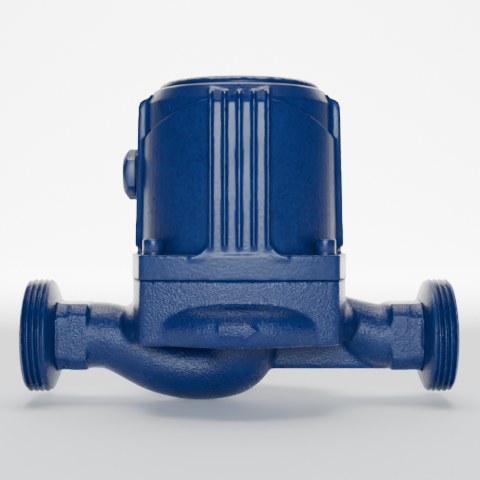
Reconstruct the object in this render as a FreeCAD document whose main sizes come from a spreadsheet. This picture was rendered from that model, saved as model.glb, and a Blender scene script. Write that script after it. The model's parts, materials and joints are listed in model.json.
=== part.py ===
"""In-line wet-rotor circulator pump for heating water.

Frame: millimetres, right-handed. The origin is the centre of the inlet port's sealing face.
+X is the flow direction, from the inlet port to the outlet port. +Z is up, along the rotor axis.
The rotor axis crosses the port axis halfway between the two ports.
Every sub-part is modelled about the rotor axis (x = 0) and then moved to its place along X.
"""
import FreeCAD, Part
import math
import os
from types import SimpleNamespace

import Sketcher

Vector = FreeCAD.Vector
Rotation = FreeCAD.Rotation

document = FreeCAD.newDocument("circulator_pump")

# ---------------------------------------------------------------- driving dimensions
SIZES = {
    # ports: G 1 1/2 outside threads, 180 mm apart
    "port_length": 180, "port_bore": 10.5,
    "thread_radius": 23.9, "thread_pitch": 2.309, "thread_depth": 1.479, "thread_flank": 0.77,
    "thread_end": 10, "ring_back": 3.2,
    # pipe necks with their wrench collars
    "neck_radius": 14.1, "collar_radius": 16.8, "collar_flats": 28.2,
    "collar_near": 11.5, "collar_gap_start": 17.6, "collar_gap_end": 19, "collar_far": 26.6,
    "neck_end": 27,
    # volute body
    "block_low": -0.7, "block_top": 25.4, "block_side": 44.9, "block_front": 42.5,
    "block_corner": 39.1, "flange_step": 0.3, "corner_round": 3,
    "bulge_ring": 40.5, "bulge_tube": 10, "bulge_level": 5.6,
    "channel_ring": 38.5, "channel_tube": 6.5, "channel_level": 8,
    "chamber_radius": 33, "chamber_floor": 3.4, "shelf_level": 17, "spigot_radius": 36.5,
    "eye_radius": 12.9, "eye_low": -0.3, "eye_seat_radius": 15.5, "eye_seat_low": 1,
    "web_half": 5, "web_low": -14.2, "web_start": 6, "web_end": 62,
    "arrow_face": 51.2, "arrow_level": 6.6,
    # motor housing
    "flange_top": 35.2, "stator_bore": 37, "wall_low_radius": 41.6, "wall_high_radius": 40.2,
    "kink_level": 97.5, "shoulder_radius": 36.6, "shoulder_level": 103.2, "crown_level": 104,
    "crown_radius": 34.8, "ceiling_level": 100, "cover_opening": 26,
    "rib_low_reach": 43.7, "rib_high_reach": 42.4, "rib_low": 37.8, "rib_high": 96.5, "rib_end": 99.8,
    "rib_relief": 1.2, "rib_width": 1.25, "rib_spacing": 5.65, "strip_half": 12.1, "strip_foot_half": 19.2,
    "foot_radius": 7, "strip_kink": 95.5,
    "panel_low_radius": 42.9, "panel_high_radius": 41.7, "panel_arc_radius": 59.8, "panel_arc_level": 38,
    # screws at the four corners
    "screw_place": 34.1, "screw_radius": 2.5, "screw_head_radius": 4.25, "screw_head_height": 5,
    "screw_socket": 4, "screw_end": 16, "washer_height": 1.2, "washer_radius": 4.4,
    # end cover with its screws and vent plug
    "gasket_height": 0.5, "cover_radius": 34.3, "cover_rim_radius": 33.2, "cover_rim_level": 106.2,
    "cover_edge_radius": 31.8, "cover_edge_level": 106.9, "cover_top": 107.3, "cover_screw_circle": 28.9,
    "cover_screw_radius": 1.25, "cover_screw_head": 2.2, "cover_skirt": 1.8, "cover_sink": 2.6,
    "vent_radius": 5, "vent_head_radius": 7.5, "vent_head_height": 2.2, "vent_slot": 1.6,
    # cable gland on the inlet side
    "gland_level": 68.7, "gland_flats": 19, "gland_face": 43.4, "gland_boss": 10, "gland_end": 49.3,
    "gland_thread": 6.5, "gland_start": 37.8, "gland_washer": 0.4, "gland_lip": 8.4, "cable_bore": 3.5,
    # rotor and its surroundings
    "shaft_radius": 4, "shaft_low": 0.8, "shaft_high": 96, "impeller_radius": 31, "impeller_hub": 7,
    "blade_low": 6.2, "blade_high": 12.2, "disc_thick": 1.4, "hub_low": 5,
    "hub_high": 15.5, "vane_centre": 20, "vane_arc": 19, "vane_thick": 1.6,
    "core_radius": 17.2, "core_low": 40, "core_high": 76, "sleeve_thick": 0.4,
    "bearing_radius": 8, "bearing_play": 0.04, "plate_low": 16.2, "plate_high": 20, "can_radius": 19,
    "can_thick": 0.6, "can_top": 90, "can_neck": 8, "neck_top": 102.4,
    "stack_low": 42, "stack_high": 74, "stack_bore": 19.1, "coil_reach": 10, "coil_outer": 33,
    "coil_inner": 20.5, "slot_radius": 3.8, "slot_circle": 27,
}


class Size:
    """A length that knows both its spreadsheet formula and its present value."""

    def __init__(self, formula, value):
        self.formula = formula
        self.value = value

    def joined(self, sign, other, value):
        return Size(f"({self.formula} {sign} {size(other).formula})", value)

    def __add__(self, other):
        return self.joined("+", other, self.value + size(other).value)

    def __sub__(self, other):
        return self.joined("-", other, self.value - size(other).value)

    def __mul__(self, other):
        return self.joined("*", other, self.value * size(other).value)

    def __truediv__(self, other):
        return self.joined("/", other, self.value / size(other).value)

    def __neg__(self):
        return Size(f"(-1 * {self.formula})", -self.value)


def size(thing):
    """Numbers become sizes, so that both can stand in an outline."""
    if isinstance(thing, Size):
        return thing
    return Size(f"({thing:.9g})", float(thing))


sheet = document.addObject("Spreadsheet::Sheet", "Sizes")
for row, (alias, number) in enumerate(SIZES.items(), start=1):
    sheet.set(f"A{row}", alias)
    sheet.set(f"B{row}", str(number))
    sheet.setAlias(f"B{row}", alias)
document.recompute()
S = SimpleNamespace(**{alias: Size(f"Sizes.{alias}", number) for alias, number in SIZES.items()})

UPRIGHT = Rotation()
ALONG_X = Rotation(Vector(0, 1, 0), 90)
AGAINST_X = Rotation(Vector(0, 1, 0), -90)
ALONG_Y = Rotation(Vector(1, 0, 0), -90)
CORNERS = [(1, 1), (-1, 1), (-1, -1), (1, -1)]


# ---------------------------------------------------------------- modelling helpers
def bind(thing, **formulas):
    for name, length in formulas.items():
        thing.setExpression(name, size(length).formula)


def place(thing, base=(0, 0, 0), rotation=UPRIGHT):
    """Turn a feature by a rotation and bind its position to the sheet."""
    lengths = [size(length) for length in base]
    thing.Placement = FreeCAD.Placement(Vector(*[length.value for length in lengths]), rotation)
    for axis, length in zip("xyz", lengths):
        thing.setExpression(f"Placement.Base.{axis}", length.formula)
    return thing


def origin_plane(body, role):
    return [plane for plane in body.Origin.OriginFeatures if plane.Role == role][0]


def polygon_sketch(body, role, outline):
    """A closed sketch through the outline's points, each one bound to the sheet."""
    sketch = body.newObject("Sketcher::SketchObject", body.Name + "_outline")
    sketch.AttachmentSupport = [(origin_plane(body, role), "")]
    sketch.MapMode = "FlatFace"
    points = [(size(across), size(up)) for across, up in outline]
    corners = [Vector(across.value, up.value, 0) for across, up in points]
    count = len(corners)
    sketch.addGeometry([Part.LineSegment(corners[i], corners[(i + 1) % count]) for i in range(count)], False)
    for i in range(count):
        sketch.addConstraint(Sketcher.Constraint("Coincident", i, 2, (i + 1) % count, 1))
    for i, pair in enumerate(points):
        for kind, length in zip(("DistanceX", "DistanceY"), pair):
            number = sketch.addConstraint(Sketcher.Constraint(kind, -1, 1, i, 1, length.value))
            sketch.setExpression(f"Constraints[{number}]", length.formula)
    return sketch


def turned(name, outline, base=(0, 0, 0), rotation=UPRIGHT):
    """A body turned about its own Z axis; the outline is a list of (radius, height)."""
    body = document.addObject("PartDesign::Body", name)
    sketch = polygon_sketch(body, "XZ_Plane", outline)
    turning = body.newObject("PartDesign::Revolution", name + "_turning")
    turning.Profile = sketch
    turning.ReferenceAxis = (sketch, ["V_Axis"])
    turning.Angle = 360
    return place(body, base, rotation)


def padded(name, role, outline, length, base=(0, 0, 0), rotation=UPRIGHT, midplane=False):
    """A body padded from a flat outline on one of its origin planes."""
    body = document.addObject("PartDesign::Body", name)
    pad = body.newObject("PartDesign::Pad", name + "_pad")
    sketch = polygon_sketch(body, role, outline)
    pad.Profile = sketch
    pad.SideType = "Symmetric" if midplane else "One side"
    bind(pad, Length=length)
    body.Tip = pad
    return place(body, base, rotation)


def ring(name, inner, outer, low, high):
    return turned(name, [(inner, low), (outer, low), (outer, high), (inner, high)])


def cylinder(name, radius, height, base=(0, 0, 0), rotation=UPRIGHT):
    thing = document.addObject("Part::Cylinder", name)
    bind(thing, Radius=radius, Height=height)
    return place(thing, base, rotation)


def box(name, low, high):
    thing = document.addObject("Part::Box", name)
    spans = [size(end) - start for start, end in zip(low, high)]
    bind(thing, Length=spans[0], Width=spans[1], Height=spans[2])
    return place(thing, low)


def hexagon(name, across_flats, height, base=(0, 0, 0), rotation=UPRIGHT):
    thing = document.addObject("Part::Prism", name)
    thing.Polygon = 6
    bind(thing, Circumradius=size(across_flats) / math.sqrt(3), Height=height)
    return place(thing, base, rotation)


def joined(name, *things):
    fusion = document.addObject("Part::MultiFuse", name)
    fusion.Shapes = list(things)
    fusion.Refine = True
    return fusion


def shared(name, *things):
    common = document.addObject("Part::MultiCommon", name)
    common.Shapes = list(things)
    return common


def less(name, base, *tools):
    """Cut the tools out of the base one after the other."""
    for number, tool in enumerate(tools):
        cut = document.addObject("Part::Cut", name if number == len(tools) - 1 else f"{name}_step_{number}")
        cut.Base = base
        cut.Tool = tool
        base = cut
    base.Refine = True
    return base


def lofted(name, stations):
    """A round duct through stations (x, z, heading in degrees above +X, radius)."""
    circles = []
    for number, (x, z, heading, radius) in enumerate(stations):
        circle = document.addObject("Part::Circle", f"{name}_station_{number}")
        bind(circle, Radius=radius)
        circles.append(place(circle, (x, 0, z), Rotation(Vector(0, 1, 0), 90 - heading)))
    duct = document.addObject("Part::Loft", name)
    duct.Sections = circles
    duct.Solid = True
    return duct


def pillow(name, low, high, step):
    """The square plan with bowed sides and rounded corners that the volute and the flange share.
    The step makes it that much wider all round."""
    body = document.addObject("PartDesign::Body", name)
    sketch = body.newObject("Sketcher::SketchObject", name + "_plan")
    sketch.AttachmentSupport = [(origin_plane(body, "XY_Plane"), "")]
    sketch.MapMode = "FlatFace"
    corner = S.block_corner + step
    for number, (x, y) in enumerate(CORNERS):
        middle = (S.block_front if number % 2 == 0 else S.block_side) + step
        start = Vector(x, y, 0) * corner.value
        end = Vector(-y, x, 0) * corner.value
        centre = (start + end) * (0.5 * middle.value / corner.value)
        sketch.addGeometry(Part.Arc(start, centre, end), False)
    for number, (x, y) in enumerate(CORNERS):
        sketch.addConstraint(Sketcher.Constraint("Coincident", number, 2, (number + 1) % 4, 1))
        for kind, side in (("DistanceX", x), ("DistanceY", y)):
            reach = corner * side
            index = sketch.addConstraint(Sketcher.Constraint(kind, -1, 1, number, 1, reach.value))
            sketch.setExpression(f"Constraints[{index}]", reach.formula)
        bow = (S.block_front if number % 2 == 0 else S.block_side) - S.block_corner
        radius = (corner * corner + bow * bow) / (bow * 2)
        index = sketch.addConstraint(Sketcher.Constraint("Radius", number, radius.value))
        sketch.setExpression(f"Constraints[{index}]", radius.formula)
    pad = body.newObject("PartDesign::Pad", name + "_pad")
    pad.Profile = sketch
    bind(pad, Length=size(high) - low)
    document.recompute()
    uprights = [f"Edge{number}" for number, edge in enumerate(pad.Shape.Edges, start=1)
                if edge.BoundBox.XLength + edge.BoundBox.YLength < 0.01]
    rounding = body.newObject("PartDesign::Fillet", name + "_rounding")
    rounding.Base = (pad, uprights)
    bind(rounding, Radius=S.corner_round)
    body.Tip = rounding
    return place(body, (0, 0, low))


nodes = []


def node(name, thing):
    """Name a finished sub-part and move it from the rotor axis to its place along X."""
    thing.Label = name
    start = thing.Placement
    base = thing.Placement.Base
    formula = dict(thing.ExpressionEngine).get(".Placement.Base.x", f"({base.x:.9g})")
    thing.Placement = FreeCAD.Placement(base + Vector(SIZES["port_length"] / 2, 0, 0), start.Rotation)
    thing.setExpression("Placement.Base.x", f"{formula} + Sizes.port_length / 2")
    nodes.append(thing)


# ---------------------------------------------------------------- pump housing
def port_end(name, side):
    """One port: threaded ring, pipe neck and wrench collars, turned about the port axis.
    Heights are measured from the port's sealing face towards the rotor axis."""
    crest = S.thread_radius
    root = S.thread_radius - S.thread_depth
    outline = [(0, 0), (crest - 1, 0), (crest, 1.0)]
    for groove in range(4):
        middle = S.thread_pitch * groove + 1.9
        outline += [(crest, middle - S.thread_flank), (root, middle), (crest, middle + S.thread_flank)]
    ring_end = S.thread_end + S.ring_back
    outline += [(crest, S.thread_end - 0.4), (crest - 0.4, S.thread_end), (S.neck_radius + 2.5, ring_end)]
    outline += [(S.neck_radius, ring_end + 0.6), (S.neck_radius, S.neck_end), (0, S.neck_end)]
    towards_rotor = ALONG_X if side < 0 else AGAINST_X
    face = S.port_length * (side / 2)
    turned_part = turned(name + "_turned", outline, (face, 0, 0), towards_rotor)
    flats = S.collar_flats / 2
    low = face if side < 0 else face - 32
    square = box(name + "_square", (low, -flats, -flats), (low + 32, flats, flats))
    collars = []
    for number, (near, far, radius) in enumerate((
            (S.collar_near, S.collar_gap_start, S.collar_radius - 0.5),
            (S.collar_gap_end, S.collar_far, S.collar_radius))):
        start = face - near * side
        collars.append(cylinder(f"{name}_collar_{number}", radius, far - near, (start, 0, 0), towards_rotor))
    collars = joined(name + "_collars", *collars)
    return joined(name, turned_part, shared(name + "_wrench_flats", square, collars))


SCOOP = [  # the inlet duct's centre line: x, z, heading, and the growth of its radius
    (-63, 0, 0, 0), (-58, -0.1, -3, 0), (-52, -1.4, -20, 0), (-44, -5.2, -30, 0.1),
    (-34, -10.2, -22, 0.2), (-24, -12.7, -8, 0.2), (-14, -13, 3, 0.3), (-7.2, -11.4, 28, 1.5),
    (-2.8, -8.2, 50, 2.6), (-0.5, -3.6, 74, 3.1), (0, 1, 90, 3.2)]
OUTLET = [  # the outlet duct, from the volute channel down to the port axis
    (37, 8.6, -12, 9.0), (44, 6.8, -18, 9.9), (50, 4.0, -26, 11.4), (56, 1.1, -22, 13.1),
    (60, 0.1, -6, 13.9), (63, 0, 0, 14.1)]

scoop_outside = lofted("inlet_duct", [
    (x, z, heading, S.neck_radius + growth) for x, z, heading, growth in SCOOP])
scoop_inside = lofted("inlet_passage", [
    (x, z, heading, S.port_bore + growth * 0.56) for x, z, heading, growth in SCOOP])
outlet_outside = lofted("outlet_duct", [(x, z, heading, radius) for x, z, heading, radius in OUTLET])
outlet_inside = lofted("outlet_passage", [
    (x, z, heading, S.port_bore * (radius / SIZES["neck_radius"]))
    for x, z, heading, radius in OUTLET])

bulge = document.addObject("Part::Torus", "volute_bulge")
bind(bulge, Radius1=S.bulge_ring, Radius2=S.bulge_tube)
bulge = place(bulge, (0, 0, S.bulge_level))
bulge = shared("volute_bulge_above_floor", bulge,
               box("above_floor", (-70, -70, S.block_low), (70, 70, S.block_top)))
channel = document.addObject("Part::Torus", "volute_channel")
bind(channel, Radius1=S.channel_ring, Radius2=S.channel_tube)
channel = place(channel, (0, 0, S.channel_level))

ARROW = [(-7.6, -2.05), (1.2, -2.05), (1.2, -3.2), (6.7, 0), (1.2, 3.2), (1.2, 2.05), (-7.6, 2.05)]
arrow = padded("flow_arrow", "XZ_Plane", ARROW, 5, (0, -(S.arrow_face - 5), S.arrow_level))
web = box("web", (S.web_start, -S.web_half, S.web_low), (S.web_end, S.web_half, S.block_low + 2))
casting = joined("casting", pillow("volute_block", S.block_low, S.block_top, 0), bulge, scoop_outside,
                 outlet_outside, web, arrow, port_end("inlet_port", -1), port_end("outlet_port", 1))

chamber = turned("chamber", [
    (0, S.eye_low), (S.eye_radius, S.eye_low), (S.eye_radius, S.eye_seat_low),
    (S.eye_seat_radius, S.eye_seat_low), (S.eye_seat_radius, S.chamber_floor),
    (S.chamber_radius, S.chamber_floor), (S.chamber_radius, S.shelf_level),
    (S.spigot_radius, S.shelf_level), (S.spigot_radius, S.block_top + 1), (0, S.block_top + 1)])


def port_bore(name, side):
    """The water way of one port, with a small lead-in at the sealing face."""
    face = S.port_length * (side / 2)
    outline = [(0, -1), (S.port_bore + 2.5, -1), (S.port_bore, 1.5), (S.port_bore, S.neck_end),
               (0, S.neck_end)]
    return turned(name, outline, (face, 0, 0), ALONG_X if side < 0 else AGAINST_X)


def at_corners(maker):
    return [maker(number, S.screw_place * x, S.screw_place * y) for number, (x, y) in enumerate(CORNERS)]


thread_holes = at_corners(lambda number, x, y: cylinder(
    f"thread_hole_{number}", S.screw_radius, S.block_top - S.screw_end + 2, (x, y, S.screw_end - 1)))
pump_housing = less("pump_housing", casting, scoop_inside, outlet_inside, channel, chamber,
                    port_bore("inlet_bore", -1), port_bore("outlet_bore", 1), *thread_holes)
node("pump_housing", pump_housing)


# ---------------------------------------------------------------- pump-end pieces
play = S.shaft_radius + S.bearing_play

node("wear_ring", ring("wear_ring", 13.8, S.eye_seat_radius, S.eye_seat_low, S.chamber_floor))
node("bearing_plate", turned("bearing_plate", [
    (S.bearing_radius, S.plate_low), (S.spigot_radius - 4, S.plate_low), (S.spigot_radius - 4, S.shelf_level),
    (S.spigot_radius - 0.1, S.shelf_level), (S.spigot_radius - 0.1, S.plate_high), (12, S.plate_high),
    (10.5, 27), (S.bearing_radius, 27)]))
node("lower_bearing", ring("lower_bearing", play, S.bearing_radius, S.shelf_level, 27))
node("can_o_ring", ring("can_o_ring", 33.6, S.spigot_radius - 0.1, S.plate_high + S.can_thick, 23))
can_inside = S.can_radius - S.can_thick
node("rotor_can", turned("rotor_can", [
    (12.5, S.plate_high), (S.spigot_radius - 0.1, S.plate_high),
    (S.spigot_radius - 0.1, S.plate_high + S.can_thick), (S.can_radius, S.plate_high + S.can_thick),
    (S.can_radius, S.can_top), (S.can_neck, S.can_top), (S.can_neck, S.neck_top),
    (S.can_neck - 1, S.neck_top), (S.can_neck - 1, S.can_top - 1), (can_inside, S.can_top - 1),
    (can_inside, S.plate_high + 1.8), (12.5, S.plate_high + 1.8)]))
node("upper_bearing_holder", turned("upper_bearing_holder", [
    (S.bearing_radius, 81), (10.5, 81), (11.5, 84), (can_inside, 84), (can_inside, S.can_top - 1),
    (S.bearing_radius, S.can_top - 1)]))
node("upper_bearing", ring("upper_bearing", play, S.bearing_radius, 81, S.can_top - 1))

# ---------------------------------------------------------------- rotor: everything that turns with the shaft
shaft = turned("shaft_turned", [
    (0, S.shaft_low), (S.shaft_radius - 0.5, S.shaft_low), (S.shaft_radius, S.shaft_low + 0.5),
    (S.shaft_radius, S.shaft_high - 0.5), (S.shaft_radius - 0.5, S.shaft_high), (0, S.shaft_high)])
shaft_slot = box("shaft_slot", (-5, -0.6, S.shaft_high - 1.5), (5, 0.6, S.shaft_high + 1))
node("shaft", less("shaft", shaft, shaft_slot))

hub = turned("impeller_hub_and_disc", [
    (S.shaft_radius, S.hub_low), (S.impeller_hub - 1.5, S.hub_low), (S.impeller_hub, S.blade_low + 2),
    (S.impeller_hub + 2, S.blade_high), (S.impeller_radius, S.blade_high),
    (S.impeller_radius, S.blade_high + S.disc_thick), (S.impeller_hub + 1, S.blade_high + S.disc_thick),
    (S.impeller_hub, S.hub_high), (S.shaft_radius, S.hub_high)])
vane_rings = []
for number in range(6):
    turn = Rotation(Vector(0, 0, 1), 60 * number)
    centre = turn.multVec(Vector(SIZES["vane_centre"], 0, 0))
    base = (centre.x, centre.y, S.blade_low)
    height = S.blade_high - S.blade_low
    sector = cylinder(f"vane_{number}_sector", S.vane_arc + S.vane_thick / 2, height, base,
                      turn * Rotation(Vector(0, 0, 1), 70))
    sector.Angle = 82
    middle = cylinder(f"vane_{number}_middle", S.vane_arc - S.vane_thick / 2, height, base)
    vane_rings.append(less(f"vane_{number}", sector, middle))
vane_space = ring("vane_space", 11, S.impeller_radius, S.blade_low, S.blade_high)
vanes = shared("vanes", joined("vane_arcs", *vane_rings), vane_space)
node("impeller", joined("impeller", hub, vanes))
node("impeller_front_shroud", turned("impeller_front_shroud", [
    (12.2, 1.2), (13.5, 1.2), (13.5, S.blade_low - S.disc_thick),
    (S.impeller_radius, S.blade_low - S.disc_thick),
    (S.impeller_radius, S.blade_low), (12.2, S.blade_low)]))
node("impeller_nut", less("impeller_nut", hexagon("nut_hexagon", 12, 3.4, (0, 0, 1.6)),
                          cylinder("nut_bore", S.shaft_radius, 6, (0, 0, 0))))
node("thrust_ring", ring("thrust_ring", S.shaft_radius, 9, 27.3, 30.3))
node("thrust_ring_holder", ring("thrust_ring_holder", S.shaft_radius, 8, 30.3, 33))
node("rotor_core", ring("rotor_core", S.shaft_radius, S.core_radius, S.core_low, S.core_high))
end_rings = [ring(f"end_ring_{number}", 9, S.core_radius - 0.5, low, size(low) + 3)
             for number, low in enumerate((S.core_low - 3, S.core_high))]
node("rotor_end_rings", joined("rotor_end_rings", *end_rings))
node("rotor_sleeve", turned("rotor_sleeve", [
    (S.core_radius - 2, S.core_low - 3.4), (S.core_radius + S.sleeve_thick, S.core_low - 3.4),
    (S.core_radius + S.sleeve_thick, S.core_high + 3.4), (S.core_radius - 2, S.core_high + 3.4),
    (S.core_radius - 2, S.core_high + 3), (S.core_radius, S.core_high + 3),
    (S.core_radius, S.core_low - 3), (S.core_radius - 2, S.core_low - 3)]))

# ---------------------------------------------------------------- stator
slots = []
slot_wires = []
for number in range(6):
    spot = Rotation(Vector(0, 0, 1), 60 * number + 30).multVec(Vector(SIZES["slot_circle"], 0, 0))
    slots.append(cylinder(f"slot_{number}", S.slot_radius + 0.1, S.stack_high - S.stack_low + 2,
                          (spot.x, spot.y, S.stack_low - 1)))
    slot_wires.append(cylinder(f"slot_wires_{number}", S.slot_radius, S.stack_high - S.stack_low + 2,
                               (spot.x, spot.y, S.stack_low - 1)))
wire_notch = box("wire_notch", (-40, -6, S.stack_low - 1), (-33.2, 6, S.stack_high + 1))
node("stator_core", less("stator_core", ring("stator_stack", S.stack_bore, S.stator_bore, S.stack_low,
                                             S.stack_high), wire_notch, *slots))


def coil_end(name, inner_level, outer_level):
    """One end of the winding: a ring of bundled wire with rounded shoulders."""
    step = (size(outer_level) - inner_level) / 4
    return turned(name, [
        (S.coil_inner, inner_level), (S.coil_outer, inner_level), (S.coil_outer, outer_level - step),
        (S.coil_outer - 2.5, outer_level), (S.coil_inner + 2.5, outer_level),
        (S.coil_inner, outer_level - step)])


node("stator_winding", joined(
    "stator_winding", coil_end("coil_end_low", S.stack_low - 0.5, S.stack_low - S.coil_reach),
    coil_end("coil_end_high", S.stack_high + 0.5, S.stack_high + S.coil_reach), *slot_wires))
node("terminal_block", less("terminal_block", box("terminal_body", (-35.8, -8, 88), (-24, 8, 96)), *[
    cylinder(f"terminal_hole_{number}", 1.6, 9, (-29, y, 92)) for number, y in enumerate((-5, 0, 5))]))
node("terminal_screws", joined("terminal_screws", *[
    cylinder(f"terminal_screw_{number}", 1.55, 3.4, (-29, y, 92)) for number, y in enumerate((-5, 0, 5))]))

# ---------------------------------------------------------------- motor housing
wall = turned("motor_wall", [
    (33, 23), (S.spigot_radius - 0.1, 23), (S.spigot_radius - 0.1, S.block_top),
    (S.wall_low_radius, S.block_top), (S.wall_high_radius, S.kink_level),
    (S.shoulder_radius, S.shoulder_level), (S.crown_radius, S.crown_level), (S.cover_opening, S.crown_level),
    (S.cover_opening, S.ceiling_level), (S.stator_bore, S.ceiling_level), (S.stator_bore, 29), (33, 27)])
panel_shell = turned("panel_shell", [
    (38, S.flange_top - 1), (S.panel_low_radius, S.flange_top - 1), (S.panel_high_radius, 98), (38, 98)])
panel_arc = cylinder("panel_arc", S.panel_arc_radius, 100, (0, -50, S.panel_arc_level), ALONG_Y)


def strip_outline():
    """The recess between two panels: straight sides that sweep outwards into round feet."""
    turns = [math.radians(angle) for angle in range(0, 91, 15)]
    right = [(S.strip_foot_half - S.foot_radius * math.sin(turn),
              S.flange_top + S.foot_radius * (1 - math.cos(turn))) for turn in turns]
    right = [(S.strip_foot_half, S.flange_top - 2)] + right + [(S.strip_half, 110)]
    left = [(-across, up) for across, up in reversed(right)]
    return right + left


def strip_side(relief):
    """A strip's side view, both ways from the rotor axis: drafted face, kink and slope to the crown."""
    low = S.rib_low_reach - relief
    high = S.rib_high_reach - relief
    right = [(low, S.flange_top - 2), (high, S.strip_kink), (S.shoulder_radius - 0.4, S.shoulder_level - 0.3)]
    return right + [(-across, up) for across, up in reversed(right)]


def rib_side():
    """The same view of a rib, which stands straight past the kink and ends in a blunt nose."""
    right = [(S.rib_low_reach - 1.2, S.rib_low - 0.6), (S.rib_low_reach, S.rib_low + 0.8),
             (S.rib_high_reach, S.rib_high), (S.rib_high_reach - 0.9, S.rib_end - 1.2),
             (S.rib_high_reach - 2.6, S.rib_end), (S.shoulder_radius, S.rib_end + 0.8)]
    return right + [(-across, up) for across, up in reversed(right)]


def strips(name, face_role, side_role, across_bars):
    """A pair of opposite strips: two flat pads with five ribs on each."""
    plan = padded(name + "_plan", face_role, strip_outline(), 120, midplane=True)
    pads = shared(name + "_pads", plan, padded(name + "_side", side_role, strip_side(S.rib_relief), 60,
                                               midplane=True))
    ribs = shared(name + "_ribs", across_bars, padded(name + "_rib_side", side_role, rib_side(), 60,
                                                      midplane=True))
    return plan, less(name, joined(name + "_solid", pads, ribs),
                      cylinder(name + "_hollow", S.stator_bore + 1.5, 90, (0, 0, S.block_top)))


def bars(name, along_y):
    """Five parallel bars through the motor, which mark out the ribs of two opposite strips."""
    made = []
    for number in range(-2, 3):
        near = S.rib_spacing * number - S.rib_width / 2
        far = S.rib_spacing * number + S.rib_width / 2
        low, high = ((near, -50, 30), (far, 50, 110)) if along_y else ((-50, near, 30), (50, far, 110))
        made.append(box(f"{name}_{number + 2}", low, high))
    return joined(name, *made)


front_plan, front_strips = strips("front_strips", "XZ_Plane", "YZ_Plane", bars("front_bars", True))
side_plan, side_strips = strips("side_strips", "YZ_Plane", "XZ_Plane", bars("side_bars", False))
panels = less("panels", shared("panel_band", panel_shell, panel_arc), front_plan, side_plan)
gland_boss = cylinder("gland_boss", S.gland_boss, S.gland_face - 38, (-38, 0, S.gland_level),
                      AGAINST_X * Rotation(Vector(0, 0, 1), 25))
flange = less("motor_flange", pillow("flange_plate", S.block_top, S.flange_top, S.flange_step),
              cylinder("flange_opening", S.stator_bore + 1, 20, (0, 0, S.block_top - 5)))
screw_clearances = at_corners(lambda number, x, y: cylinder(
    f"flange_hole_{number}", S.screw_radius + 0.3, 20, (x, y, S.block_top - 5)))
gland_hole = cylinder("gland_hole", S.gland_thread, 12, (-34, 0, S.gland_level), AGAINST_X)


def cover_screw_spots():
    return [(number, Rotation(Vector(0, 0, 1), 120 * number + 90).multVec(
        Vector(SIZES["cover_screw_circle"], 0, 0))) for number in range(3)]


cover_threads = [cylinder(f"cover_thread_{number}", S.cover_screw_radius, 6,
                          (spot.x, spot.y, S.crown_level - 4)) for number, spot in cover_screw_spots()]
node("motor_housing", less("motor_housing", joined(
    "motor_casting", wall, flange, front_strips, side_strips, panels, gland_boss),
                           gland_hole, *screw_clearances, *cover_threads))

# ---------------------------------------------------------------- corner screws
head_low = S.flange_top + S.washer_height


def corner_screw(number, x, y):
    """A socket head cap screw standing in one corner of the flange."""
    blank = turned(f"screw_blank_{number}", [
        (0, S.screw_end), (S.screw_radius, S.screw_end), (S.screw_radius, head_low),
        (S.screw_head_radius, head_low), (S.screw_head_radius, head_low + S.screw_head_height - 0.5),
        (S.screw_head_radius - 0.5, head_low + S.screw_head_height), (0, head_low + S.screw_head_height)],
        (x, y, 0))
    socket = hexagon(f"screw_socket_{number}", S.screw_socket, 4,
                     (x, y, head_low + S.screw_head_height - 2.5))
    return less(f"corner_screw_{number}", blank, socket)


def split_washer(number, x, y):
    """A spring washer: a ring with one slit."""
    washer = turned(f"washer_ring_{number}", [
        (S.screw_radius + 0.1, S.flange_top), (S.washer_radius, S.flange_top),
        (S.washer_radius, head_low), (S.screw_radius + 0.1, head_low)], (x, y, 0))
    slit = box(f"washer_slit_{number}", (x, y - 0.4, S.flange_top - 1), (x + 6, y + 0.4, head_low + 1))
    return less(f"split_washer_{number}", washer, slit)


node("housing_screws", joined("housing_screws", *at_corners(corner_screw)))
node("spring_washers", joined("spring_washers", *at_corners(split_washer)))

# ---------------------------------------------------------------- end cover and vent plug
cover_low = S.crown_level + S.gasket_height
cover_blank = turned("cover_blank", [
    (S.can_neck + 0.1, S.ceiling_level + 2), (S.cover_opening - 0.1, S.ceiling_level + 2),
    (S.cover_opening - 0.1, cover_low), (S.cover_radius - S.cover_skirt, cover_low),
    (S.cover_radius - S.cover_skirt, S.crown_level + 0.1), (S.cover_radius, S.crown_level + 0.1),
    (S.cover_radius - 0.3, S.crown_level + 1.3), (S.cover_rim_radius, S.cover_rim_level),
    (S.cover_edge_radius, S.cover_edge_level), (12, S.cover_top), (S.vent_head_radius + 0.4, S.cover_top),
    (S.vent_head_radius + 0.4, S.cover_top - S.vent_head_height - 0.3),
    (S.vent_radius, S.cover_top - S.vent_head_height - 0.3), (S.vent_radius, S.neck_top + 0.1),
    (S.can_neck + 0.1, S.neck_top + 0.1)])
head_level = S.crown_level + S.cover_sink
screw_wells = [turned(f"screw_well_{number}", [
    (0, S.crown_level - 1), (S.cover_screw_radius + 0.1, S.crown_level - 1),
    (S.cover_screw_radius + 0.1, head_level - 1.2), (S.cover_screw_head, head_level),
    (S.cover_screw_head, S.cover_top + 1), (0, S.cover_top + 1)], (spot.x, spot.y, 0))
    for number, spot in cover_screw_spots()]
node("end_cover", less("end_cover", cover_blank, *screw_wells))
gasket_holes = [cylinder(f"gasket_hole_{number}", S.cover_screw_radius + 0.1, 3,
                         (spot.x, spot.y, S.crown_level - 1)) for number, spot in cover_screw_spots()]
node("cover_gasket", less("cover_gasket", ring(
    "gasket_ring", S.cover_opening, S.cover_radius - S.cover_skirt - 0.1, S.crown_level,
    cover_low), *gasket_holes))


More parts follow.
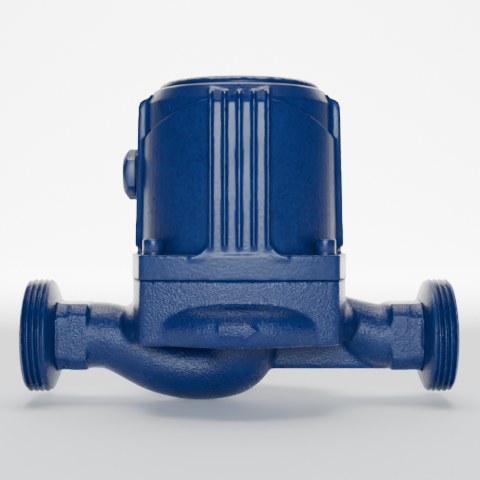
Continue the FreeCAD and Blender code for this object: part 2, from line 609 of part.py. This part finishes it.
def cover_screw(number, spot):
    """A countersunk screw with a straight slot."""
    blank = turned(f"cover_screw_blank_{number}", [
        (0, S.crown_level - 3.5), (S.cover_screw_radius, S.crown_level - 3.5),
        (S.cover_screw_radius, head_level - 1.3), (S.cover_screw_head - 0.1, head_level),
        (0, head_level)], (spot.x, spot.y, 0))
    slot = box(f"cover_screw_slot_{number}", (spot.x - 4, spot.y - 0.3, head_level - 0.8),
               (spot.x + 4, spot.y + 0.3, head_level + 1))
    return less(f"cover_screw_{number}", blank, slot)


node("cover_screws", joined("cover_screws", *[cover_screw(number, spot) for number, spot in
                                              cover_screw_spots()]))
vent_seat = S.cover_top - S.vent_head_height - 0.3
plug_blank = turned("plug_blank", [
    (0, S.shaft_high + 2), (S.vent_radius - 0.5, S.shaft_high + 2), (S.vent_radius - 0.05, S.shaft_high + 3),
    (S.vent_radius - 0.05, vent_seat + 0.9), (S.vent_head_radius, vent_seat + 0.9),
    (S.vent_head_radius, S.cover_top - 0.6), (S.vent_head_radius - 0.6, S.cover_top), (0, S.cover_top)])
plug_slot = box("plug_slot", (-9, -(S.vent_slot / 2), S.cover_top - 1.2),
                (9, S.vent_slot / 2, S.cover_top + 1))
node("vent_plug", less("vent_plug", plug_blank, plug_slot))
node("vent_seal", ring("vent_seal", S.vent_radius, S.vent_head_radius, vent_seat, vent_seat + 0.9))

# ---------------------------------------------------------------- cable gland on the inlet side
GLAND = (0, 0, S.gland_level)
nut_face = S.gland_face + S.gland_washer
seal_face = S.gland_end - 2.6
nut_floor = S.gland_end - 1.6
tube_radius = S.gland_thread - 0.05
seal_pocket = S.cable_bore + 1.5
node("gland_body", turned("gland_tube", [
    (S.cable_bore, S.gland_start), (tube_radius, S.gland_start), (tube_radius, seal_face),
    (seal_pocket, seal_face), (seal_pocket, nut_face), (S.cable_bore, S.gland_face - 0.6)],
    GLAND, AGAINST_X))
node("gland_washer", turned("gland_washer", [
    (S.gland_thread, S.gland_face), (S.gland_lip, S.gland_face), (S.gland_lip, nut_face),
    (S.gland_thread, nut_face)], GLAND, AGAINST_X))
dome = turned("gland_dome", [
    (0, nut_face), (12, nut_face), (12, S.gland_end - 3.4), (10.1, S.gland_end - 1.8),
    (7.8, S.gland_end), (0, S.gland_end)], GLAND, AGAINST_X)
hexagon_blank = hexagon("gland_hexagon", S.gland_flats, 12, (-nut_face, 0, S.gland_level), AGAINST_X)
nut_hollow = turned("gland_nut_hollow", [
    (0, S.gland_face), (S.gland_thread, S.gland_face), (S.gland_thread, nut_floor),
    (S.cable_bore, nut_floor), (S.cable_bore, S.gland_end + 1), (0, S.gland_end + 1)],
    GLAND, AGAINST_X)
node("gland_nut", less("gland_nut", shared("gland_nut_blank", dome, hexagon_blank), nut_hollow))
node("gland_seal", turned("gland_seal", [
    (S.cable_bore, nut_face), (seal_pocket, nut_face), (seal_pocket, seal_face),
    (S.gland_thread - 0.1, seal_face), (S.gland_thread - 0.1, nut_floor), (S.cable_bore, nut_floor)],
    GLAND, AGAINST_X))


# ---------------------------------------------------------------- check and write
document.recompute()
for thing in document.Objects:
    if any(word in state for state in thing.State for word in ("Invalid", "Error")):
        raise RuntimeError(f"{thing.Name} failed: {thing.State}")
for thing in nodes:
    if thing.Shape.isNull() or not thing.Shape.isValid() or not thing.Shape.Solids:
        raise RuntimeError(f"{thing.Label} has no valid solid")
os.makedirs("parts", exist_ok=True)
for thing in nodes:
    thing.Shape.exportStep(f"parts/{thing.Label}.step")
    extent = thing.Shape.BoundBox
    print(f"{thing.Label:24s} {len(thing.Shape.Solids)} solid(s)  {thing.Shape.Volume:10.0f} mm3  "
          f"x {extent.XMin:.1f}..{extent.XMax:.1f}  y {extent.YMin:.1f}..{extent.YMax:.1f}  "
          f"z {extent.ZMin:.1f}..{extent.ZMax:.1f}")
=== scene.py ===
# %% [markdown]
# # A wet-rotor circulator pump
# This lesson dresses a finished mechanical model. The solids come in at their true size, in metres,
# with the water flowing along +X and the rotor standing along +Z. The steps below add what a
# solid lacks: the soft edges of a casting, a true thread, enamel paint, bare metal, and a small
# studio. Each step says what the real thing is, how it could be made, and why this way was chosen.

# %% Load the frame
import json
import math

import bpy
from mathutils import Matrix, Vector


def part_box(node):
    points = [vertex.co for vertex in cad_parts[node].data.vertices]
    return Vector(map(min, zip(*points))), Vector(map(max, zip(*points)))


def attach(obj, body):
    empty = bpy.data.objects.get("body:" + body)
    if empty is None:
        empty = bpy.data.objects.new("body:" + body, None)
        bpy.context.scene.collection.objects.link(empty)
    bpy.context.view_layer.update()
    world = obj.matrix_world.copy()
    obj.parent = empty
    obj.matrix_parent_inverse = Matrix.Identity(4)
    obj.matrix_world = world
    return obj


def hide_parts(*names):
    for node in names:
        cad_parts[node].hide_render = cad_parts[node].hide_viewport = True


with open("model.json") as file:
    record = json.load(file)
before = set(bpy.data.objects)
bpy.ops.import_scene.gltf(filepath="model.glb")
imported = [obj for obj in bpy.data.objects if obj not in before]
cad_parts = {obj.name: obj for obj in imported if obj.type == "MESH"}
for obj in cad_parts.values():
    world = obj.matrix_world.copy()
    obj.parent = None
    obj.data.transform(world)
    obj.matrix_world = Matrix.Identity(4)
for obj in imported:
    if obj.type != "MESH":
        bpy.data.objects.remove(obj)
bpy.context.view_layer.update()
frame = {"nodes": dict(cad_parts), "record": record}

MM = 0.001

# %% [markdown]
# The pump is symmetrical about its rotor axis, so most places are measured from that axis.
# The ports' centre line is the X axis itself, and the rotor axis stands halfway between the ports.

# %% Places read from the frame
housing_low, housing_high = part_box("pump_housing")
PORT_GAP = housing_high.x - housing_low.x
ROTOR_X = PORT_GAP / 2
SEAM = 25.4 * MM
FLOOR = housing_low.z - 0.2 * MM
print("ports", round(PORT_GAP / MM, 1), "mm apart; rotor axis at x =", round(ROTOR_X / MM, 1), "mm")


# %% [markdown]
# Operators work on whatever is selected, so every step starts from a clean selection. These small
# helpers do that, copy a solid so that the original stays untouched, and apply modifiers.

# %% Selection helpers
def only(piece):
    """Select one object alone and make it active."""
    for thing in bpy.context.selected_objects:
        thing.select_set(False)
    piece.hide_set(False)
    piece.select_set(True)
    bpy.context.view_layer.objects.active = piece


def apply_modifier(piece, kind, **settings):
    """Add a modifier, set it up and apply it at once."""
    only(piece)
    modifier = piece.modifiers.new(kind.title(), kind)
    for name, value in settings.items():
        setattr(modifier, name, value)
    bpy.ops.object.modifier_apply(modifier=modifier.name)


def copy_of(node, name):
    """A merged, closed copy of a solid, ready to be reshaped."""
    source = frame["nodes"][node]
    piece = source.copy()
    piece.data = source.data.copy()
    piece.name = name
    piece.data.name = name
    piece.parent = None
    bpy.context.collection.objects.link(piece)
    only(piece)
    bpy.ops.object.mode_set(mode="EDIT")
    bpy.ops.mesh.select_all(action="SELECT")
    bpy.ops.mesh.remove_doubles(threshold=0.002 * MM)
    bpy.ops.object.mode_set(mode="OBJECT")
    return piece


def smooth_by_angle(piece, degrees):
    only(piece)
    bpy.ops.object.shade_smooth_by_angle(angle=math.radians(degrees))


def size_of(piece):
    piece.data.calc_loop_triangles()
    print(piece.name, "has", len(piece.data.loop_triangles), "triangles")


# %% [markdown]
# ## The iron casting
# The pump housing is cast in sand, so its corners are soft: pipes run into the square body through
# fillets, and the raised ring of the volute swells out of the flat faces. Bevels would have to find
# every such edge. A voxel remesh followed by smoothing softens them all at once, as sand does. The
# machined top face has to stay crisp, so a vertex group holds the smoothing back there.

# %% Soften a casting
def soften(piece, voxel, rounds, hold, keep):
    """Remesh, smooth where hold(point) is near 1, then thin the mesh to the share keep."""
    apply_modifier(piece, "REMESH", mode="VOXEL", voxel_size=voxel)
    group = piece.vertex_groups.new(name="soft")
    for vertex in piece.data.vertices:
        group.add([vertex.index], hold(vertex.co), "REPLACE")
    apply_modifier(piece, "SMOOTH", factor=0.5, iterations=rounds, vertex_group="soft")
    if keep < 1:
        apply_modifier(piece, "DECIMATE", ratio=keep)
    piece.vertex_groups.clear()
    smooth_by_angle(piece, 75)


RING_BACK = 12.8 * MM


def trim_port(piece, plane_x, outwards):
    """Cut the threaded ring off one end of the housing and close the cut."""
    only(piece)
    bpy.ops.object.mode_set(mode="EDIT")
    bpy.ops.mesh.select_all(action="SELECT")
    bpy.ops.mesh.bisect(plane_co=(plane_x, 0, 0), plane_no=(outwards, 0, 0), use_fill=True,
                        clear_outer=True)
    bpy.ops.object.mode_set(mode="OBJECT")


NECK_START = 61.5 * MM


def iron_hold(point):
    """Machined top: untouched. Turned necks: barely softened. Rough casting: softened fully."""
    if point.z > SEAM - 0.9 * MM:
        return 0.0
    if abs(point.x - ROTOR_X) > NECK_START:
        return 0.25
    return 1.0


casting = copy_of("pump_housing", "pump_casting")
trim_port(casting, RING_BACK, -1)
trim_port(casting, PORT_GAP - RING_BACK, 1)
soften(casting, (0.85) * MM, 9, iron_hold, 0.55)
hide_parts("pump_housing")
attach(casting, "pump")
size_of(casting)

# %% [markdown]
# ## The flow arrow
# A raised arrow on the front of the volute shows which way the water goes. It stands less than a
# millimetre proud, too little to survive the softening, so it is laid on again as a piece of its
# own. A cylinder with seven corners already has two faces and seven sides. Moving each pair of
# corners onto the arrow's outline gives a clean prism with no triangles to tidy.

# %% Flow arrow
ARROW = [(-8, -2.2), (1.5, -2.2), (1.5, -3.8), (7, 0), (1.5, 3.8), (1.5, 2.2), (-8, 2.2)]
ARROW_LEVEL = 6.6 * MM
ARROW_FACE = -51.35 * MM
ARROW_ROOT = -48.4 * MM

for thing in bpy.context.selected_objects:
    thing.select_set(False)
bpy.ops.mesh.primitive_cylinder_add(vertices=len(ARROW), radius=0.01, depth=0.01)
arrow = bpy.context.object
arrow.name = "flow_arrow"
for vertex in arrow.data.vertices:
    across, up = ARROW[vertex.index // 2]
    front = vertex.co.z > 0
    vertex.co = (ROTOR_X + across * MM, ARROW_FACE if front else ARROW_ROOT, ARROW_LEVEL + up * MM)
only(arrow)
bpy.ops.object.mode_set(mode="EDIT")
bpy.ops.mesh.select_all(action="SELECT")
bpy.ops.mesh.normals_make_consistent(inside=False)
bpy.ops.object.mode_set(mode="OBJECT")
apply_modifier(arrow, "BEVEL", width=0.35 * MM, segments=3, limit_method="ANGLE",
               angle_limit=math.radians(30))
smooth_by_angle(arrow, 40)
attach(arrow, "pump")

# %% [markdown]
# ## The threaded port rings
# Each port ends in a short pipe thread of eleven turns to the inch. A stack of separate grooves
# would look right from one side only, because a real thread climbs. Here a flat grid is rolled up:
# one direction of the grid goes round the ring and the other follows its profile. The thread is a
# zigzag whose place depends on the turn as well, so the crest climbs one pitch in one turn.

# %% Thread profile
CREST = 23.9 * MM
PITCH = 2.309 * MM
DEPTH = 1.479 * MM
THREAD_STEPS = 96
ROUND_STEPS = 144


def ramp(value, start, end):
    return min(1, max(0, (value - start) / (end - start)))


def thread_radius(depth_in, turn):
    """Radius of the threaded wall at a distance from the sealing face, after a share of a turn."""
    phase = (depth_in / PITCH - turn) % 1
    groove = 1 - abs(phase - 0.5) * 2
    groove = ramp(groove, 0.2, 0.92)
    fade = ramp(depth_in, 0.2 * MM, 1.2 * MM) * (1 - ramp(depth_in, 8.6 * MM, 9.6 * MM))
    chamfer = 1.1 * MM * (1 - ramp(depth_in, 0, 1.3 * MM)) + 0.45 * MM * ramp(depth_in, 9.4 * MM, 10 * MM)
    return CREST - chamfer - DEPTH * groove * (0.35 + 0.65 * fade)


def ring_profile(turn):
    """The ring's closed outline as (distance from the face, radius), thread included."""
    bore = [(13.2 * MM, 10.5 * MM), (6 * MM, 10.5 * MM), (1.6 * MM, 10.5 * MM), (0.3 * MM, 12.4 * MM),
            (0, 12.9 * MM), (0, 17 * MM), (0, 22.1 * MM)]
    wall = [(10 * MM * step / THREAD_STEPS, thread_radius(10 * MM * step / THREAD_STEPS, turn))
            for step in range(1, THREAD_STEPS + 1)]
    back = [(10.5 * MM, 23.0 * MM), (11.1 * MM, 21.9 * MM), (11.9 * MM, 20 * MM), (12.6 * MM, 18.2 * MM),
            (13.2 * MM, 16.4 * MM), (13.2 * MM, 13 * MM)]
    return bore + wall + back


# %% Roll up the rings
def port_ring(name, face_x, inwards):
    outline_steps = len(ring_profile(0))
    bpy.ops.mesh.primitive_grid_add(x_subdivisions=outline_steps, y_subdivisions=ROUND_STEPS, size=1)
    ring = bpy.context.object
    ring.name = name
    for vertex in ring.data.vertices:
        step = round((vertex.co.x + 0.5) * outline_steps) % outline_steps
        turn = (vertex.co.y + 0.5) % 1
        depth_in, radius = ring_profile(turn)[step]
        angle = turn * math.tau * inwards
        vertex.co = (face_x + inwards * depth_in, radius * math.cos(angle), radius * math.sin(angle))
    only(ring)
    bpy.ops.object.mode_set(mode="EDIT")
    bpy.ops.mesh.select_all(action="SELECT")
    bpy.ops.mesh.remove_doubles(threshold=0.001 * MM)
    bpy.ops.mesh.normals_make_consistent(inside=False)
    bpy.ops.object.mode_set(mode="OBJECT")
    smooth_by_angle(ring, 40)
    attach(ring, "pump")
    size_of(ring)
    return ring


for thing in bpy.context.selected_objects:
    thing.select_set(False)
rings = [port_ring("inlet_ring", 0, 1), port_ring("outlet_ring", PORT_GAP, -1)]


# %% [markdown]
# ## The motor housing
# This is a die casting: finer skin, thinner ribs, smaller rounds. The same softening works with
# smaller voxels and fewer rounds. Only the machined face at the seam stays as it is.

# %% Motor housing
def motor_hold(point):
    if point.z < SEAM + 0.8 * MM:
        return 0.0
    return 0.8


motor = copy_of("motor_housing", "motor_casting")
soften(motor, (0.5) * MM, 5, motor_hold, 0.27)
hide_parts("motor_housing")
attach(motor, "pump")
size_of(motor)


# %% [markdown]
# ## Small turned pieces
# Screws, the gland nut and the end cover have machined edges, softened only by paint. A narrow
# bevel that looks for sharp edges is enough, and it leaves their size alone.

# %% Bevelled copies
def bevelled(node, name, width):
    piece = copy_of(node, name)
    apply_modifier(piece, "DECIMATE", decimate_type="DISSOLVE", angle_limit=math.radians(1.5))
    apply_modifier(piece, "BEVEL", width=width, segments=2, limit_method="ANGLE",
                   angle_limit=math.radians(35))
    smooth_by_angle(piece, 35)
    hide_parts(node)
    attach(piece, "pump")
    size_of(piece)
    return piece


cap_screws = bevelled("housing_screws", "cap_screws", 0.3 * MM)
gland_hexagon = bevelled("gland_nut", "gland_hexagon", 0.4 * MM)
cover_disc = bevelled("end_cover", "cover_disc", 0.35 * MM)


# %% [markdown]
# ## Shader arithmetic
# Materials are built from nodes. Writing each Math node by hand hides the idea, so a small class
# wraps a socket and turns + and * into nodes. Everything else goes through one method, add.

# %% Wires and recipes
class Wire:
    """One output socket of a material, with arithmetic."""

    def __init__(self, recipe, socket):
        self.recipe = recipe
        self.socket = socket

    def math(self, operation, first, second):
        return self.recipe.add("ShaderNodeMath", {"operation": operation}, {0: first, 1: second})

    def __add__(self, other):
        return self.math("ADD", self, other)

    def __mul__(self, other):
        return self.math("MULTIPLY", self, other)



class Recipe:
    """A material under construction: a Principled shader and the nodes that feed it."""

    def __init__(self, name, **constants):
        self.material = bpy.data.materials.new(name)
        self.material.use_nodes = True
        self.tree = self.material.node_tree
        self.shader = self.tree.nodes["Principled BSDF"]
        for socket, value in constants.items():
            self.shader.inputs[socket.replace("_", " ")].default_value = value
        self.place = self.add("ShaderNodeTexCoord", {}, {}, "Object")

    def add(self, kind, settings, inputs, output=0):
        node = self.tree.nodes.new(kind)
        for name, value in settings.items():
            setattr(node, name, value)
        for name, value in inputs.items():
            if isinstance(value, Wire):
                self.tree.links.new(value.socket, node.inputs[name])
            else:
                node.inputs[name].default_value = value
        return Wire(self, node.outputs[output])

    def noise(self, feature, detail=2, roughness=0.5):
        """Noise whose features are about one size across, given in metres."""
        settings = {"Vector": self.place, "Scale": 1 / feature, "Detail": detail, "Roughness": roughness}
        return self.add("ShaderNodeTexNoise", {}, settings)

    def between(self, low, high, wire):
        """Stretch the part of a wire between low and high to run from 0 to 1."""
        return self.add("ShaderNodeMapRange", {}, {"Value": wire, "From Min": low, "From Max": high})

    def colours(self, first, second, factor):
        inputs = {"Factor": factor, "A": first, "B": second}
        node = self.tree.nodes.new("ShaderNodeMix")
        node.data_type = "RGBA"
        for name, value in inputs.items():
            sockets = [socket for socket in node.inputs if socket.name == name and socket.enabled]
            if isinstance(value, Wire):
                self.tree.links.new(value.socket, sockets[0])
            else:
                sockets[0].default_value = value
        return Wire(self, [socket for socket in node.outputs if socket.enabled][0])

    def feed(self, socket, wire):
        self.tree.links.new(wire.socket, self.shader.inputs[socket])

    def bump(self, height, depth, strength=1.0):
        inputs = {"Height": height, "Distance": depth, "Strength": strength}
        self.feed("Normal", self.add("ShaderNodeBump", {}, inputs))


def dress(piece, material):
    """Give a piece one material all over."""
    piece.data.materials.clear()
    piece.data.materials.append(material)
    for face in piece.data.polygons:
        face.material_index = 0


# %% [markdown]
# ## Blue enamel
# The whole pump was sprayed after assembly, so castings, screws and gland share one blue. What
# differs is the skin beneath: pebbly on sand-cast iron, finer on the die casting, smooth on turned
# pieces. One function takes the size and depth of the pebbles and darkens their hollows as painted shade.

# %% Enamel over three skins
# The darkest blue is painted shade, used in the pebble hollows.
HOLLOW_SHADE_BLUE = (0.0002, 0.006, 0.042, 1)
ENAMEL_BLUE = (0.0006, 0.015, 0.092, 1)
WORN_BLUE = (0.002, 0.028, 0.135, 1)


def enamel(name, pebble, depth, gloss, patchy):
    recipe = Recipe(name, Metallic=0.0, Specular_IOR_Level=0.33)
    pebbles = recipe.noise(pebble, detail=1.5, roughness=0.45)
    grains = recipe.noise(pebble * 0.45, detail=1)
    runs = recipe.noise(9 * MM, detail=2)
    height = pebbles + grains * 0.35 + runs * (patchy * 0.6)
    # Painted shade: the low points of the pebble bump are mixed toward the darkest blue.
    hollow_shade_mask = recipe.between(0.38, 0.62, pebbles)
    body = recipe.colours(HOLLOW_SHADE_BLUE, ENAMEL_BLUE, hollow_shade_mask * 0.55 + 0.45)
    patches = recipe.between(0.52, 0.78, recipe.noise(14 * MM, detail=4, roughness=0.6))
    recipe.feed("Base Color", recipe.colours(body, WORN_BLUE, patches * patchy))
    recipe.feed("Roughness", recipe.between(0, 1, runs) * 0.16 + (gloss - 0.08))
    recipe.bump(height, depth)
    return recipe.material


iron_enamel = enamel("enamel_on_sand_cast_iron", 0.8 * MM, 0.27 * MM, 0.29, 0.30)
motor_enamel = enamel("enamel_on_die_casting", 1.3 * MM, 0.075 * MM, 0.30, 0.35)
turned_enamel = enamel("enamel_on_turned_steel", 1.6 * MM, 0.04 * MM, 0.30, 0.2)
dress(casting, iron_enamel)
dress(arrow, iron_enamel)
for ring in rings:
    dress(ring, iron_enamel)
dress(motor, motor_enamel)
for piece in (cap_screws, gland_hexagon, cover_disc):
    dress(piece, turned_enamel)


# %% [markdown]
# ## Bare metals
# Inside, most pieces are turned or drawn metal. Turning leaves fine rings about the rotor axis, and
# a stack of laminations shows hair lines. Both are bands along Z, broken up a little by noise.

# %% Bare metals
def banded_metal(name, colour, band, depth, gloss):
    recipe = Recipe(name, Metallic=1.0)
    height = recipe.add("ShaderNodeSeparateXYZ", {}, {"Vector": recipe.place}, "Z")
    lines = recipe.add("ShaderNodeMath", {"operation": "SINE"}, {0: height * (math.tau / band)})
    smears = recipe.noise(6 * MM, detail=3)
    darker = tuple(channel * 0.72 for channel in colour[:3]) + (1,)
    recipe.feed("Base Color", recipe.colours(darker, colour, recipe.between(0.3, 0.7, smears)))
    recipe.feed("Roughness", recipe.between(0.2, 0.8, smears) * 0.15 + gloss)
    recipe.bump(lines * 0.5 + smears * 0.3, depth)
    return recipe.material


stainless = banded_metal("turned_stainless", (0.60, 0.60, 0.58, 1), 0.3 * MM, 0.004 * MM, 0.24)
ground_steel = banded_metal("ground_shaft_steel", (0.56, 0.57, 0.59, 1), 0.15 * MM, 0.002 * MM, 0.16)
lamination = banded_metal("stacked_laminations", (0.30, 0.31, 0.33, 1), 0.5 * MM, 0.05 * MM, 0.42)
brass = banded_metal("turned_brass", (0.72, 0.52, 0.22, 1), 0.25 * MM, 0.004 * MM, 0.26)
copper = banded_metal("varnished_copper_wire", (0.62, 0.24, 0.10, 1), 0.9 * MM, 0.25 * MM, 0.35)


# %% [markdown]
# ## Mouldings, carbon and rubber
# Plastics, pressed carbon and rubber are dull and slightly mottled. One function covers them.

# %% Dull materials
def moulded(name, colour, grain, depth, gloss):
    recipe = Recipe(name, Metallic=0.0)
    specks = recipe.noise(grain, detail=3)
    clouds = recipe.noise(11 * MM, detail=2)
    darker = tuple(channel * 0.8 for channel in colour[:3]) + (1,)
    recipe.feed("Base Color", recipe.colours(darker, colour, recipe.between(0.35, 0.65, clouds)))
    recipe.feed("Roughness", recipe.between(0.3, 0.7, specks) * 0.12 + gloss)
    recipe.bump(specks, depth)
    return recipe.material


FINISHES = {
    "stainless": stainless,
    "shaft_steel": ground_steel,
    "laminations": lamination,
    "brass": brass,
    "copper_winding": copper,
    "screw_paint": turned_enamel,
    "carbon": moulded("pressed_carbon", (0.035, 0.035, 0.038, 1), 0.3 * MM, 0.01 * MM, 0.45),
    "alumina": moulded("polished_ceramic", (0.86, 0.84, 0.78, 1), 0.5 * MM, 0.002 * MM, 0.12),
    "impeller_plastic": moulded("glass_filled_plastic", (0.62, 0.57, 0.45, 1), 0.5 * MM, 0.02 * MM, 0.42),
    "terminal_plastic": moulded("terminal_plastic", (0.80, 0.79, 0.74, 1), 0.4 * MM, 0.01 * MM, 0.40),
    "black_rubber": moulded("seal_rubber", (0.02, 0.02, 0.021, 1), 0.4 * MM, 0.02 * MM, 0.62),
    "gasket_fibre": moulded("gasket_fibre", (0.16, 0.12, 0.08, 1), 0.25 * MM, 0.03 * MM, 0.75),
}
slot_of = {part["node"]: part["material_slot"] for part in frame["record"]["subparts"]}
for name, node in frame["nodes"].items():
    if slot_of[name] in FINISHES:
        dress(node, FINISHES[slot_of[name]])


# %% [markdown]
# ## The studio
# A pale sweep of paper runs under the pump and curves up behind it, so there is no horizon. The
# main light is a soft box close to the lens: it makes the faces that look at the camera shine and
# leaves the sides in deep blue. A box overhead lights the paper underneath, and a third one, out of
# sight behind the pump, makes the standing part of the sheet nearly white.

# %% Paper sweep
bpy.ops.mesh.primitive_plane_add(size=6, location=(ROTOR_X, 0, FLOOR))
sweep = bpy.context.object
sweep.name = "paper_sweep"
bpy.ops.object.transform_apply(location=True, rotation=True, scale=True)
bpy.ops.object.mode_set(mode="EDIT")
bpy.ops.mesh.select_all(action="DESELECT")
bpy.ops.object.mode_set(mode="OBJECT")
for edge in sweep.data.edges:
    edge.select = all(sweep.data.vertices[index].co.y > 2.9 for index in edge.vertices)
bpy.ops.object.mode_set(mode="EDIT")
bpy.ops.mesh.select_mode(type="EDGE")
bpy.ops.mesh.extrude_region_move(TRANSFORM_OT_translate={"value": (0, 0, 4)})
bpy.ops.object.mode_set(mode="OBJECT")
apply_modifier(sweep, "BEVEL", width=1.6, segments=16, limit_method="ANGLE", angle_limit=math.radians(60))
smooth_by_angle(sweep, 60)
paper = Recipe("pale_paper", Metallic=0.0)
fibres = paper.noise(3 * MM, detail=3)
paper.feed("Base Color", paper.colours((0.90, 0.90, 0.90, 1), (0.94, 0.94, 0.94, 1), fibres))
paper.feed("Roughness", fibres * 0.1 + 0.85)
dress(sweep, paper.material)

# %% Camera
CAMERA_DISTANCE = 463 * MM
CAMERA_HEIGHT = 47 * MM
lens = bpy.data.cameras.new("camera")
lens.lens = 81
lens.sensor_width = 36
lens.shift_y = -0.031
lens.clip_start = 0.01
camera = bpy.data.objects.new("camera", lens)
camera.location = (ROTOR_X + 0.3 * MM, -CAMERA_DISTANCE, CAMERA_HEIGHT)
camera.rotation_euler = (math.radians(90), 0, 0)
bpy.context.collection.objects.link(camera)
bpy.context.scene.camera = camera


# %% Lights
def soft_box(name, place, target, width, height, watts, colour=(1, 1, 1)):
    light = bpy.data.lights.new(name, "AREA")
    light.shape = "RECTANGLE"
    light.size = width
    light.size_y = height
    light.energy = watts
    light.color = colour
    lamp = bpy.data.objects.new(name, light)
    lamp.location = place
    lamp.rotation_euler = (Vector(target) - Vector(place)).to_track_quat("-Z", "Y").to_euler()
    bpy.context.collection.objects.link(lamp)
    return lamp


middle = (ROTOR_X, 0, 40 * MM)
soft_box("lens_box", (ROTOR_X, -0.85, 0.20), middle, 0.5, 0.22, 9.5, (0.70, 0.84, 1))
soft_box("sky_box", (ROTOR_X, 0.3, 1.6), middle, 1.2, 0.9, 34)
soft_box("paper_light", (ROTOR_X, 0.6, 1.2), (ROTOR_X, 3, 0.6), 2.2, 0.8, 400)
world = bpy.data.worlds.new("studio")
world.use_nodes = True
world.node_tree.nodes["Background"].inputs["Color"].default_value = (0.8, 0.85, 0.9, 1)
world.node_tree.nodes["Background"].inputs["Strength"].default_value = 0.16
bpy.context.scene.world = world
